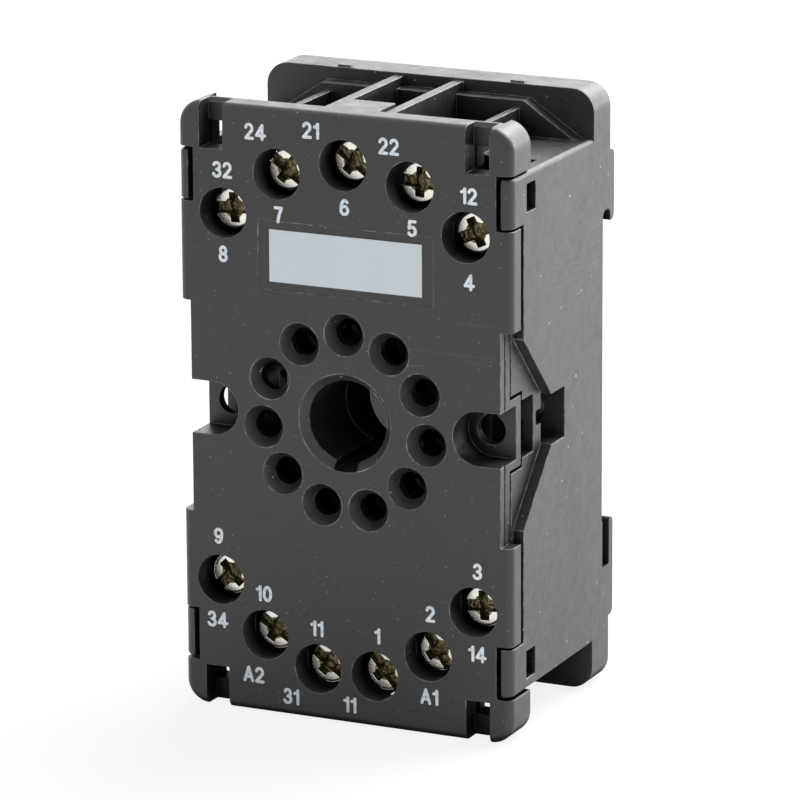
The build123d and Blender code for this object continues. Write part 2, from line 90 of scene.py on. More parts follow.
# Lamps: name, place, the place it faces, width and height, and the stage's property that holds its power
LAMPS = (
    ("wall_lamp", (0.0, 1.0, 0.42), (0, 0, 0.2), (1.5, 0.75), "wall_power"),
    ("key_lamp", (0.5, 1.0, 0.14), (0, 0, MIDDLE_HEIGHT), (1.0, 0.4), "key_power"),
    ("table_lamp", (0.2, 0.45, 0.55), (0.12, 0.24, 0), (0.6, 0.6), "table_power"),
    ("fill_lamp", (-0.35, -0.8, 0.45), (0, 0, MIDDLE_HEIGHT), (0.5, 0.5), "fill_power"),
)


class Value:
    """A shader socket that is added, subtracted, multiplied and compared like a number."""

    def __init__(self, finish, socket):
        self.finish, self.socket = finish, socket

    def _math(self, operation, first, second):
        return self.finish.add("ShaderNodeMath", {"operation": operation}, {0: first, 1: second})

    def __add__(self, other):
        return self._math("ADD", self, other)

    def __sub__(self, other):
        return self._math("SUBTRACT", self, other)

    def __rsub__(self, other):
        return self._math("SUBTRACT", other, self)

    def __mul__(self, other):
        return self._math("MULTIPLY", self, other)

    def __lt__(self, other):
        return self._math("LESS_THAN", self, other)

    def __abs__(self):
        return self._math("ABSOLUTE", self, 0.0)

    __radd__ = __add__
    __rmul__ = __mul__

    def ease(self, start, stop):
        """0 below start, 1 above stop and a smooth rise between them; start may be the larger."""
        return self.finish.add("ShaderNodeMapRange", {"interpolation_type": "SMOOTHSTEP", "clamp": True},
                               {"Value": self, "From Min": start, "From Max": stop})


class Finish:
    """A material, world or light while its nodes are put together."""

    def __init__(self, owner):
        self.owner = owner
        owner.use_nodes = True
        self.tree = owner.node_tree
        self.tree.nodes.clear()

    def add(self, kind, settings=None, sockets=None, output=0):
        """Adds one node: first its settings, then the values or links of its sockets."""
        node = self.tree.nodes.new(kind)
        for name, setting in (settings or {}).items():
            setattr(node, name, setting)
        for name, given in (sockets or {}).items():
            if isinstance(given, Value):
                self.tree.links.new(given.socket, node.inputs[name])
            else:
                node.inputs[name].default_value = given
        return Value(self, node.outputs[output]) if len(node.outputs) else node

    def place(self):
        """Object coordinates, in metres."""
        return self.add("ShaderNodeTexCoord", output="Object")

    def moved(self, place, scale=(1, 1, 1), turn=(0, 0, 0), shift=(0, 0, 0)):
        """The coordinates turned, stretched and shifted by a Mapping node."""
        return self.add("ShaderNodeMapping", None,
                        {"Vector": place, "Location": shift, "Rotation": turn, "Scale": scale})

    def noise(self, place, size, detail=2.0, rough=0.5):
        """Cloudy values from 0 to 1 whose patches are about size across, in metres."""
        return self.add("ShaderNodeTexNoise", {"noise_dimensions": "3D"},
                        {"Vector": place, "Scale": 1 / size, "Detail": detail, "Roughness": rough})

    def mix(self, factor, first, second):
        """A colour between two colours; these are the colour sockets of the Mix node, by their numbers."""
        return self.add("ShaderNodeMix", {"data_type": "RGBA"}, {0: factor, 6: first, 7: second}, 2)

    def specks(self, place, spacing, radius, share):
        """Small round dots: cells of a Voronoi pattern, of which only a share holds a dot."""
        cell = {"Vector": place, "Scale": 1 / spacing, "Randomness": 1.0}
        distance = self.add("ShaderNodeTexVoronoi", {"feature": "F1"}, cell, "Distance")
        colour = self.add("ShaderNodeTexVoronoi", {"feature": "F1"}, cell, "Color")
        chance = self.add("ShaderNodeSeparateColor", None, {"Color": colour}, "Red")
        size = self.add("ShaderNodeSeparateColor", None, {"Color": colour}, "Green")
        reach = (size * 0.8 + 0.2) * (radius / spacing)
        return (distance < reach) * (chance < share)

    def hairlines(self, place, length, width, turn, share):
        """Fine scratches: the level line of a noise that is stretched along one direction."""
        along = self.moved(place, scale=(0.5 / length, 0.5 / length, 14 / length), turn=turn)
        level = self.add("ShaderNodeTexNoise", None, {"Vector": along, "Scale": 1.0, "Detail": 1.0})
        line = abs(level - 0.5).ease(width, 0.0)
        return line * self.noise(place, length * 1.5).ease(1 - share, 1.05 - share)

    def bump(self, height, strength, distance):
        """A normal that follows the height."""
        return self.add("ShaderNodeBump", None,
                        {"Height": height, "Strength": strength, "Distance": distance})

    def surface(self, reach=0.0, open_sky=0.6, closed=0.25, **sockets):
        """The closing shader, which a dark matt painted shade covers where walls within reach close a place
        in.
        """
        shader = self.add("ShaderNodeBsdfPrincipled", None, sockets)
        if reach:
            sky = self.add("ShaderNodeAmbientOcclusion", {"samples": 8}, {"Distance": reach}, "AO")
            cover = sky.ease(open_sky, closed) * DEEPEST_COVER
            shade = self.add("ShaderNodeBsdfDiffuse", None, {"Color": DEEP_SHADE})
            shader = self.add("ShaderNodeMixShader", None, {0: cover, 1: shader, 2: shade})
        self.add("ShaderNodeOutputMaterial", None, {"Surface": shader})
        return self.owner


def rgba(colour, share=1.0):
    """A share of a colour's brightness, with full alpha."""
    return (*(part * share for part in colour[:3]), 1.0)


def moulded_plastic(name, look, shift, edge=False):
    """Satin black moulding: fine grain, cloudy gloss, dust and hairlines; its edges are rubbed pale with a
    painted highlight, and painted shade covers places that walls close in.
    """
    finish = Finish(bpy.data.materials.new(name))
    place = finish.moved(finish.place(), shift=shift)
    grain = finish.noise(place, size=look.grain, detail=3.0, rough=0.6)
    flow = finish.noise(finish.moved(place, scale=(1, 1, 0.35)), size=0.006, detail=3.0)
    smudge = finish.noise(place, size=0.0016, detail=4.0, rough=0.65)
    lint = finish.specks(place, spacing=0.0017, radius=0.00016, share=look.dust)
    dust = finish.specks(place, spacing=0.0008, radius=0.0001, share=look.dust)
    powder = finish.specks(place, spacing=0.00045, radius=0.00006, share=look.dust)
    scratch = finish.hairlines(place, length=0.012, width=0.018, turn=(0.4, 0.9, 0.3), share=0.42)
    rub = finish.hairlines(place, length=0.007, width=0.022, turn=(1.3, 0.2, 1.1), share=0.35)
    dirt = (lint + dust * 0.8 + powder * 0.45).ease(0.0, 1.0)
    marks = scratch * 0.32 + rub * 0.22
    clean = finish.mix((flow - 0.5) * 0.5 + smudge * 0.6, rgba(look.colour), rgba(look.colour, 1.8))
    if edge:
        # Rubbed edges with a painted highlight: noisy patches turn the edge faces pale.
        wear_highlight_patches = finish.noise(place, size=0.0013, detail=4.0, rough=0.75).ease(0.42, 0.7)
        clean = finish.mix(wear_highlight_patches * 0.9 + smudge * 0.15, clean, rgba(look.edge_wear_highlight_colour))
    worn = finish.mix(marks, clean, rgba(look.scratch_colour))
    dusty = finish.mix(dirt * 0.8, worn, rgba(look.dust_colour))
    rough = (flow - 0.5) * 0.16 + (smudge - 0.5) * 0.3 + marks * 0.12 + dirt * 0.3 + look.roughness
    height = grain * 0.6 + smudge * 0.4 + dirt * 1.2 - marks * 0.8
    # Painted shade: where walls within the shade reach close a place in, a dark matt shade covers the
    # plastic.
    return finish.surface(look.shade_reach, look.shade_open, look.shade_deep, **{
        "Base Color": dusty, "Roughness": rough, "IOR": 1.6,
        "Normal": finish.bump(height, strength=0.6, distance=0.00006),
    })


def printing_ink(look):
    """Pale screen ink with thin and thick spots."""
    finish = Finish(bpy.data.materials.new("printing_ink"))
    place = finish.place()
    blot = finish.noise(place, size=0.00035, detail=3.0, rough=0.7)
    colour = finish.mix(blot.ease(0.36, 0.62), rgba(look.ink, 0.82), rgba(look.ink, 1.08))
    return finish.surface(**{
        "Base Color": colour, "Roughness": blot * 0.2 + 0.45,
        "Normal": finish.bump(blot, strength=0.3, distance=0.00002),
    })


def label_film(look):
    """Silver grey writing film: fine sparkle, faint cloud, a few dark specks and rubbed lines."""
    finish = Finish(bpy.data.materials.new("label_film"))
    place = finish.place()
    fine = finish.noise(place, size=0.00012, detail=2.0, rough=0.7)
    cloud = finish.noise(place, size=0.004, detail=3.0)
    speck = finish.specks(place, spacing=0.0011, radius=0.00006, share=0.3)
    rub = finish.hairlines(place, length=0.009, width=0.004, turn=(0.2, 1.2, 0.5), share=0.4)
    base = finish.mix(fine * 0.6 + cloud * 0.4, rgba(look.film, 0.88), rgba(look.film, 1.1))
    marked = finish.mix(speck * 0.5 + rub * 0.2, base, rgba(look.film_speck))
    return finish.surface(**{
        "Base Color": marked, "Roughness": fine * 0.25 + 0.4, "Metallic": fine * 0.3,
        "Normal": finish.bump(fine, strength=0.2, distance=0.00001),
    })


def screw_finish(look, crease_reach=0.0006):
    """Bright worn nickel on the lands; the recess, which the mesh marks, is darker metal with painted glints,
    and painted shade darkens its creases.
    """
    finish = Finish(bpy.data.materials.new("screw_plating"))
    place = finish.place()
    brushed = finish.noise(place, size=0.00012, detail=3.0, rough=0.6)
    cloud = finish.noise(place, size=0.0007, detail=3.0, rough=0.6)
    pits = finish.specks(place, spacing=0.0004, radius=0.00005, share=0.4)
    marked = finish.add("ShaderNodeAttribute", {"attribute_name": "recess"}, output="Fac")
    across = finish.add("ShaderNodeUVMap", {"uv_map": "head"})
    reach = finish.add("ShaderNodeVectorMath", {"operation": "LENGTH"}, {0: across}, "Value")
    ragged = reach + (cloud - 0.5) * 0.12
    pit = ragged.ease(look.pit_share + look.pit_blur, look.pit_share - look.pit_blur)
    recess = (marked + pit).ease(0.3, 0.7)
    # Painted shade: the recess darkens further where nearby metal closes it in.
    open_sky = finish.add("ShaderNodeAmbientOcclusion", {"samples": 6, "only_local": True},
                          {"Distance": crease_reach}, "AO")
    crease = open_sky.ease(0.8, 0.35)
    land = finish.mix(cloud * 0.7 + pits * 0.4, rgba(look.screw), rgba(look.screw, 0.84))
    # Painted glints: lighter streaks brighten the recess colour, and bumps follow them.
    glint_streaks = finish.noise(place, size=0.00045, detail=2.0, rough=0.6).ease(0.42, 0.62)
    glinting_recess = finish.mix(glint_streaks, rgba(look.recess), rgba(look.recess, 2.6))
    deep = finish.mix(crease * 0.6, glinting_recess, rgba(look.recess, 0.4))
    return finish.surface(**{
        "Base Color": finish.mix(recess, land, deep), "Metallic": 1.0,
        "Roughness": brushed * 0.16 + recess * cloud * 0.2 + 0.18,
        "Normal": finish.bump(brushed * 0.3 + cloud * 0.6 + recess * glint_streaks * 2.5,
                              strength=0.45, distance=0.00004),
    })


def plated_metal(name, bright, deep, tool_size, crease_reach, roughness, darkening):
    """Plated metal with tool marks; creases that face other metal closely are darker and duller."""
    finish = Finish(bpy.data.materials.new(name))
    place = finish.place()
    brushed = finish.noise(finish.moved(place, scale=(1, 1, 6)), size=tool_size, detail=3.0, rough=0.6)
    cloud = finish.noise(place, size=0.0008, detail=3.0, rough=0.6)
    open_sky = finish.add("ShaderNodeAmbientOcclusion", {"samples": 6, "only_local": True},
                          {"Distance": crease_reach}, "AO")
    crease = open_sky.ease(0.86, 0.5)
    crease_dark = (crease * 0.9 + cloud * 0.25 - 0.08).ease(0.0, 1.0) * darkening
    tint = finish.mix(cloud, rgba(bright, 0.92), rgba(bright))
    colour = finish.mix(crease_dark, tint, rgba(deep))
    # Painted shade: where walls within 12 mm close a place in, a dark matt shade covers the metal.
    return finish.surface(reach=0.012, open_sky=0.72, closed=0.35, **{
        "Base Color": colour, "Metallic": 1.0 - crease_dark * 0.35,
        "Roughness": brushed * 0.14 + crease_dark * 0.3 + roughness,
        "Normal": finish.bump(brushed * 0.6 + cloud * 0.6, strength=0.25, distance=0.00002),
    })


class SocketPlastic(bpy.types.PropertyGroup):
    """Sizes and colours of the two black mouldings."""

    colour: bpy.props.FloatVectorProperty(
        name="Colour", description="Base colour of the moulded plastic", subtype="COLOR", size=3,
        min=0, max=1, default=(0.0075, 0.0075, 0.0077))
    dust_colour: bpy.props.FloatVectorProperty(
        name="Dust colour", description="Colour of dust and lint in the grain", subtype="COLOR", size=3,
        min=0, max=1, default=(0.36, 0.37, 0.37))
    # Worn edges and a painted highlight on their rims share this pale colour.
    edge_wear_highlight_colour: bpy.props.FloatVectorProperty(
        name="Edge wear and highlight colour", description="Colour of thin burrs and rubbed edges, with a painted highlight on their rims", subtype="COLOR", size=3,
        min=0, max=1, default=(0.2, 0.2, 0.195))
    scratch_colour: bpy.props.FloatVectorProperty(
        name="Scratch colour", description="Colour of fine scratches", subtype="COLOR", size=3,
        min=0, max=1, default=(0.075, 0.075, 0.075))
    roughness: bpy.props.FloatProperty(
        name="Roughness", description="Middle roughness of the satin surface", min=0.05, max=1, default=0.45)
    grain: bpy.props.FloatProperty(
        name="Grain", description="Size of the fine grain", unit="LENGTH", default=0.0003, precision=6)
    dust: bpy.props.FloatProperty(
        name="Dust", description="Share of places that hold a speck", min=0, max=1, default=0.27)
    shade_reach: bpy.props.FloatProperty(
        name="Shade reach", description="How far a place looks for walls that shade it", unit="LENGTH",
        default=0.008, precision=5)
    shade_open: bpy.props.FloatProperty(
        name="Shade start", description="Openness at which the sheen starts to fade", min=0, max=1,
        default=0.6)
    shade_deep: bpy.props.FloatProperty(
        name="Shade full", description="Openness at which the sheen is gone", min=0, max=1, default=0.25)
    edge: bpy.props.FloatProperty(
        name="Edge", description="Width of the softened edge of a moulding", unit="LENGTH",
        default=0.00007, precision=6)
    edge_steps: bpy.props.IntProperty(
        name="Edge steps", description="Segments across a softened edge", min=1, max=4, default=2)
    edge_angle: bpy.props.FloatProperty(
        name="Edge angle", description="Smallest angle of an edge that is softened", unit="ROTATION",
        subtype="ANGLE", default=math.radians(32))
    square_end: bpy.props.FloatProperty(
        name="Square end", description="Depth of the side ends of the flange whose edges stay square",
        unit="LENGTH", default=0.0006, precision=5)
    square_back: bpy.props.FloatProperty(
        name="Square back", description="Place along Y behind which the side ends stay square",
        unit="LENGTH", default=0.0079, precision=5)


class SocketPrinting(bpy.types.PropertyGroup):
    """Sizes and colours of the printed numbers and the label."""

    height: bpy.props.FloatProperty(
        name="Figure height", description="Height of a printed figure", unit="LENGTH",
        default=0.00182, precision=5)
    pen: bpy.props.FloatProperty(
        name="Pen", description="Width of a figure's strokes, as a share of its height", default=0.185)
    figure_gap: bpy.props.FloatProperty(
        name="Figure gap", description="Space between two figures, as a share of their height", default=0.07)
    ink_depth: bpy.props.FloatProperty(
        name="Ink depth", description="How far the ink stands on the cover", unit="LENGTH",
        default=0.00002, precision=6)
    layer_step: bpy.props.FloatProperty(
        name="Layer step", description="Height between strokes that cross, so that no two faces coincide",
        unit="LENGTH", default=0.0000015, precision=7)
    ink: bpy.props.FloatVectorProperty(
        name="Ink", description="Colour of the printing ink", subtype="COLOR", size=3, min=0, max=1,
        default=(0.66, 0.71, 0.76))
    film: bpy.props.FloatVectorProperty(
        name="Film", description="Colour of the marking label", subtype="COLOR", size=3, min=0, max=1,
        default=(0.54, 0.595, 0.635))
    film_speck: bpy.props.FloatVectorProperty(
        name="Film specks", description="Colour of the specks and rubbed lines on the label",
        subtype="COLOR", size=3, min=0, max=1, default=(0.2, 0.21, 0.22))


class SocketMetals(bpy.types.PropertyGroup):
    """Colours of the metal parts."""

    rim: bpy.props.FloatProperty(
        name="Rim", description="Rounding of the rim and the slots of a screw", unit="LENGTH",
        default=0.00006, precision=6)
    land_facing: bpy.props.FloatProperty(
        name="Land facing", description="How squarely a face of the lands points forwards, where 1 is fully",
        default=0.7)
    land_depth: bpy.props.FloatProperty(
        name="Land depth", description="Depth behind the front of a screw that still counts as its lands",
        unit="LENGTH", default=0.00005, precision=6)
    recess_depth: bpy.props.FloatProperty(
        name="Recess depth", description="Depth behind the front that the recess can reach", unit="LENGTH",
        default=0.0017, precision=5)
    rim_share: bpy.props.FloatProperty(
        name="Rim share", description="Share of the head's radius that the recess can reach", default=0.93)
    pit_share: bpy.props.FloatProperty(
        name="Pit share", description="Share of the head's radius that the round pit in its middle reaches",
        default=0.5)
    pit_blur: bpy.props.FloatProperty(
        name="Pit blur", description="Half the width of the pit's soft rim, as a share of the head's radius",
        default=0.03)
    screw: bpy.props.FloatVectorProperty(
        name="Screw", description="Plating of the screws", subtype="COLOR", size=3, min=0, max=1,
        default=(0.93, 0.9, 0.8))
    # Darker colour of the screw recesses, and of the creases of clamps and contacts.
    recess: bpy.props.FloatVectorProperty(
        name="Recess", description="Darker colour of the screw recesses and of the creases of clamps and contacts", subtype="COLOR", size=3, min=0, max=1,
        default=(0.105, 0.088, 0.048))
    plate: bpy.props.FloatVectorProperty(
        name="Clamp plate", description="Zinc plated steel of the clamp plates", subtype="COLOR", size=3,
        min=0, max=1, default=(0.6, 0.59, 0.55))
    strip: bpy.props.FloatVectorProperty(
        name="Contact", description="Plated brass of the contact strips", subtype="COLOR", size=3,
        min=0, max=1, default=(0.7, 0.6, 0.38))
    spring: bpy.props.FloatVectorProperty(
        name="Spring", description="Steel of the rail spring", subtype="COLOR", size=3, min=0, max=1,
        default=(0.52, 0.52, 0.52))
    spring_crease: bpy.props.FloatVectorProperty(
        name="Spring crease", description="Colour that the creases of the rail spring darken to", subtype="COLOR", size=3,
        min=0, max=1, default=(0.12, 0.11, 0.1))


class SocketStage(bpy.types.PropertyGroup):
    """Floor, lamps and camera."""

    floor_side: bpy.props.FloatProperty(
        name="Floor side", description="Side of the square floor", unit="LENGTH", default=6.0)
    floor_colour: bpy.props.FloatVectorProperty(
        name="Floor colour", description="Colour of the floor", subtype="COLOR", size=3, min=0, max=1,
        default=(0.86, 0.86, 0.86))
    floor_glow: bpy.props.FloatProperty(
        name="Floor white", description="Share of plain white that the camera sees on the floor",
        min=0, max=1, default=0.85)
    floor_gloss: bpy.props.FloatProperty(
        name="Floor white in gloss", description="Share of plain white that glossy surfaces see on the floor",
        min=0, max=1, default=0.3)
    world_level: bpy.props.FloatProperty(
        name="Room light", description="Strength of the light from all round", min=0, default=0.58)
    wall_power: bpy.props.FloatProperty(
        name="Wall power", description="Power of the wide wall of light behind", unit="POWER", default=7.6)
    key_power: bpy.props.FloatProperty(
        name="Key power", description="Power of the low lamp behind on the right", unit="POWER", default=4.5)
    table_power: bpy.props.FloatProperty(
        name="Table power", description="Power of the lamp above the floor behind", unit="POWER",
        default=10.5)
    fill_power: bpy.props.FloatProperty(
        name="Fill power", description="Power of the weak lamp in front", unit="POWER", default=0.35)
    camera_azimuth: bpy.props.FloatProperty(
        name="Camera azimuth", description="How far the camera stands to the right", unit="ROTATION",
        subtype="ANGLE", default=math.radians(24.99))
    camera_elevation: bpy.props.FloatProperty(
        name="Camera elevation", description="How far the camera looks down", unit="ROTATION",
        subtype="ANGLE", default=math.radians(15.12))
    camera_roll: bpy.props.FloatProperty(
        name="Camera roll", description="Turn of the camera about its own axis", unit="ROTATION",
        subtype="ANGLE", default=math.radians(-0.3))
    camera_place: bpy.props.FloatVectorProperty(
        name="Camera place", description="Place of the camera", subtype="TRANSLATION", size=3,
        default=(0.25209, -0.54048, 0.19338))
    camera_lens: bpy.props.FloatProperty(
        name="Camera lens", description="Focal length for a sensor 36 mm wide", default=261.0)


def body_that_carries(node):
    """The name of the CAD body that a node belongs to."""
    return next(body for body, nodes in frame["record"]["behaviour"]["bodies"].items() if node in nodes)


def attach(piece, node):
    """The piece stands for the node, whose CAD part it hides, and rides on its body."""
    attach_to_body(piece, body_that_carries(node))
    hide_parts(node)


def paint(obj, material, edge=None):
    """The material in every slot of the object, and the edge's own in the last one."""
    if not obj.material_slots:
        obj.data.materials.append(material)
    for held in obj.material_slots:
        held.material = material
    if edge:
        obj.material_slots[-1].material = edge


def new_piece(name, mesh):
    """A scene object at the origin that holds the mesh."""
    piece = bpy.data.objects.new(name, mesh)
    bpy.context.scene.collection.objects.link(piece)
    return piece


def vectors(items, name):
    """One vector of each corner or face of a mesh, as rows."""
    values = np.empty(len(items) * 3)
    items.foreach_get(name, values)
    return values.reshape(-1, 3)


def stays_square(edge, look):
    """Whether an edge lies at a side end of the housing's flange, where edges are too crowded to bevel."""
    return all(abs(corner.co.x) > FLANGE_END - look.square_end and corner.co.y > look.square_back
               for corner in edge.verts)


def softened(node, look, width):
    """A merged copy of a CAD node whose flat faces are whole and whose sharp edges a bevel rounds."""
    mesh = frame["nodes"][node].data.copy()
    shape = bmesh.new()
    shape.from_mesh(mesh)
    bmesh.ops.remove_doubles(shape, verts=shape.verts, dist=MERGE_GAP)
    bmesh.ops.dissolve_limit(shape, angle_limit=FLAT_ANGLE, verts=shape.verts, edges=shape.edges)
    bevelled = shape.edges.layers.float.new("bevel_weight_edge")
    for edge in shape.edges:
        sharp = edge.calc_face_angle(0.0) > look.edge_angle
        edge[bevelled] = float(sharp and not stays_square(edge, look))
    shape.to_mesh(mesh)
    shape.free()
    mesh.shade_smooth()
    mesh.set_sharp_from_angle(angle=look.edge_angle)
    mesh.materials.append(None)
    piece = new_piece(node + "_softened", mesh)
    bevel = piece.modifiers.new("soft edge", "BEVEL")
    bevel.width = width
    bevel.segments = look.edge_steps
    bevel.limit_method = "WEIGHT"
    bevel.use_clamp_overlap = False
    bevel.miter_outer = "MITER_ARC"
    bevel.material = len(mesh.materials) - 1
    bpy.context.view_layer.update()
    rounded = bpy.data.meshes.new_from_object(piece.evaluated_get(bpy.context.evaluated_depsgraph_get()))
    piece.modifiers.remove(bevel)
    piece.data = rounded
    within = np.clip(vectors(rounded.vertices, "co"), *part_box(node))
    rounded.vertices.foreach_set("co", within.ravel())
    even = piece.modifiers.new("flat faces", "WEIGHTED_NORMAL")
    even.mode = "FACE_AREA"
    even.weight = FACE_WEIGHT
    even.keep_sharp = True
    attach(piece, node)
    return piece


def mark_recess(piece, look):
    """Tells a screw's recess from its lands, for the finish to read.

    Face attribute "recess" is 1 where a face lies behind the lands and well within the rim of the head,
    else 0. The map "head" holds each corner's way from the axis of the screw, with the head's radius as 1.
    """
    mesh = piece.data
    places = vectors(mesh.vertices, "co")
    middle, normal = vectors(mesh.polygons, "center"), vectors(mesh.polygons, "normal")
    low, high = places.min(0), places.max(0)
    axis, radius = (low + high) / 2, (high[0] - low[0]) / 2
    reach = np.hypot(*(middle - axis)[:, (0, 2)].T) / radius
    depth = middle[:, 1] - low[1]
    behind = (depth > look.land_depth) | (normal[:, 1] > -look.land_facing)
    recess = behind & (reach < look.rim_share) & (depth < look.recess_depth)
    mesh.attributes.new("recess", "FLOAT", "FACE").data.foreach_set("value", recess.astype(float))
    corner = np.empty(len(mesh.loops), dtype=int)
    mesh.loops.foreach_get("vertex_index", corner)
    across = ((places - axis)[:, (0, 2)] / radius)[corner]
    mesh.uv_layers.new(name="head").data.foreach_set("uv", across.ravel())


class SOCKET_OT_mouldings(bpy.types.Operator):
    """Softens the edges of the housing and the cover and gives both their black plastic"""

    bl_idname = "socket.mouldings"
    bl_label = "Mouldings"

    def execute(self, context):
        look = context.scene.socket_plastic
        for node, shift in (("base_housing", (0, 0, 0)), ("front_cover", (0.031, 0.017, 0.053))):
            piece = softened(node, look, look.edge)
            paint(piece, moulded_plastic(node + "_plastic", look, shift),
                  moulded_plastic(node + "_edges", look, shift, edge=True))
        return {"FINISHED"}


def bow(middle, reach, start, stop):
    """Points along an ellipse between two angles in degrees, counted from the right."""
    count = max(3, round(abs(stop - start) / BOW_STEP) + 1)
    angle = np.radians(np.linspace(start, stop, count))
    return np.stack((middle[0] + reach[0] * np.cos(angle), middle[1] + reach[1] * np.sin(angle)), axis=1)


def run(*corners):
    """A stroke straight from corner to corner."""
    return np.array(corners, dtype=float)


# Centre lines of the strokes of each figure, in a box one unit high
FIGURES = {
    "0": (bow((0.31, 0.5), (0.21, 0.4), 0, 360),),
    "1": (run((0.3, 0.1), (0.3, 0.9)), run((0.3, 0.88), (0.22, 0.76), (0.1, 0.72))),
    "2": (np.concatenate((bow((0.3, 0.67), (0.2, 0.23), 165, -28), run((0.1, 0.1)))),
          run((0.1, 0.1), (0.53, 0.1))),
    "3": (bow((0.29, 0.7), (0.18, 0.2), 160, -90), bow((0.29, 0.3), (0.21, 0.2), 90, -162)),
    "4": (run((0.43, 0.1), (0.43, 0.9)), run((0.43, 0.9), (0.08, 0.31)), run((0.08, 0.31), (0.6, 0.31))),
    "5": (run((0.5, 0.9), (0.17, 0.9)), run((0.17, 0.9), (0.13, 0.5)),
          bow((0.3, 0.34), (0.22, 0.24), 135, -150)),
    "6": (bow((0.31, 0.33), (0.21, 0.23), 0, 360), bow((0.33, 0.42), (0.23, 0.48), 52, 180)),
    "7": (run((0.1, 0.9), (0.52, 0.9)), run((0.52, 0.9), (0.36, 0.55), (0.27, 0.1))),
    "8": (bow((0.3, 0.7), (0.17, 0.2), 0, 360), bow((0.3, 0.3), (0.2, 0.2), 0, 360)),
    "9": (bow((0.31, 0.67), (0.21, 0.23), 0, 360), bow((0.29, 0.58), (0.23, 0.48), -128, 0)),
    "A": (run((0.09, 0.1), (0.34, 0.9)), run((0.34, 0.9), (0.59, 0.1)), run((0.19, 0.34), (0.49, 0.34))),
}


def stroke_plates(path, half):
    """Rim and front faces of the three plates of a stroke: a band along the path, and a disc at each end.

    The band's rim runs along the path, half the pen's width to its right, and back along its left. Each of
    its faces joins two neighbours on the right with the two across. A disc's rim is a circle with one face.
    """
    step = np.gradient(path, axis=0)
    left = np.stack((-step[:, 1], step[:, 0]), axis=1) / np.linalg.norm(step, axis=1)[:, None] * half
    band = np.concatenate((path - left, (path + left)[::-1]))
    right = np.arange(len(path) - 1)
    across = len(band) - 1 - right
    turn = np.linspace(0, 2 * np.pi, DISC_CORNERS, endpoint=False)
    disc = np.stack((np.cos(turn), np.sin(turn)), axis=1) * half
    whole = np.arange(DISC_CORNERS)[None]
    return ((band, np.stack((right, right + 1, across - 1, across), axis=1)),
            (path[0] + disc, whole), (path[-1] + disc, whole))


def thick_plate(rim, front, back, depth):
    """Points and faces of a plate: its rim at the back and again, depth nearer, at the front.

    The front faces stand on the second rim, the same faces turned round on the first, and one wall face
    joins each pair of neighbours of both.
    """
    count = len(rim)
    here = np.arange(count)
    after = np.roll(here, -1)
    points = [np.stack((rim[:, 0], np.full(count, place), rim[:, 1]), axis=1)
              for place in (back, back - depth)]
    walls = np.stack((here, after, after + count, here + count), axis=1)
    return np.concatenate(points), [*(front + count).tolist(), *front[:, ::-1].tolist(), *walls.tolist()]


def number_strokes(body, look):
    """The strokes of one number, at full size, with the middle of its box at the origin."""
    strokes = []
    start = 0.0
    for figure in body:
        lines = FIGURES[figure]
        left = min(line[:, 0].min() for line in lines) - look.pen / 2
        right = max(line[:, 0].max() for line in lines) + look.pen / 2
        strokes += [line + (start - left, 0) for line in lines]
        start += right - left + look.figure_gap
    middle = np.array(((start - look.figure_gap) / 2, 0.5))
    return [(line - middle) * look.height for line in strokes]


class SOCKET_OT_printing(bpy.types.Operator):
    """Prints the plain terminal numbers on the face of the cover"""

    bl_idname = "socket.printing"
    bl_label = "Printing"

    def execute(self, context):
        look = context.scene.socket_printing
        points, faces = [], []
        layer, count = 0.0, 0
        for body, x, height in PRINTED:
            middle = np.array((x * MM, MIDDLE_HEIGHT + height * MM))
            for path in number_strokes(body, look):
                layer = (layer + look.layer_step) % look.ink_depth
                plates = stroke_plates(path + middle, look.pen / 2 * look.height)
                for (rim, front), step in zip(plates, (0, 1 / 3, 2 / 3)):
                    back = COVER_LOW.y - layer - look.layer_step * step
                    corners, sides = thick_plate(rim, front, back, look.ink_depth)
                    points.append(corners)
                    faces += [[corner + count for corner in side] for side in sides]
                    count += len(corners)
        mesh = bpy.data.meshes.new("terminal_numbers")
        mesh.from_pydata(np.concatenate(points), [], faces)
        piece = new_piece("terminal_numbers", mesh)
        paint(piece, printing_ink(look))
        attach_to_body(piece, body_that_carries("front_cover"))
        return {"FINISHED"}


class SOCKET_OT_label(bpy.types.Operator):
    """Gives the blank marking label its silver grey film"""

    bl_idname = "socket.label"
    bl_label = "Marking label"

    def execute(self, context):
        paint(frame["nodes"]["marking_label"], label_film(context.scene.socket_printing))
        return {"FINISHED"}


class SOCKET_OT_terminals(bpy.types.Operator):
    """Gives the contact strips, clamp plates and screws their plating"""

    bl_idname = "socket.terminals"
    bl_label = "Terminals"

    def execute(self, context):
        look = context.scene.socket_metals
        screw = screw_finish(look)
        plastic = context.scene.socket_plastic
        plate = plated_metal("clamp_zinc", look.plate, look.recess, tool_size=0.0002, crease_reach=0.0006,
                             roughness=0.34, darkening=0.6)
        strip = plated_metal("contact_brass", look.strip, look.recess, tool_size=0.0002, crease_reach=0.0006,
                             roughness=0.3, darkening=0.6)
        for number in TERMINALS:
            head = softened(f"terminal_screw_{number}", plastic, look.rim)
            mark_recess(head, look)
            paint(head, screw, screw)
            paint(frame["nodes"][f"clamp_plate_{number}"], plate)
            paint(frame["nodes"][f"contact_strip_{number}"], strip)
        return {"FINISHED"}


class SOCKET_OT_rail_spring(bpy.types.Operator):
    """Gives the bowed rail spring its steel"""

    bl_idname = "socket.rail_spring"
    bl_label = "Rail spring"

    def execute(self, context):
        look = context.scene.socket_metals
        steel = plated_metal("spring_steel", look.spring, look.spring_crease, tool_size=0.0002,
                             crease_reach=0.0005, roughness=0.32, darkening=0.6)
        paint(frame["nodes"]["rail_spring"], steel)
        return {"FINISHED"}


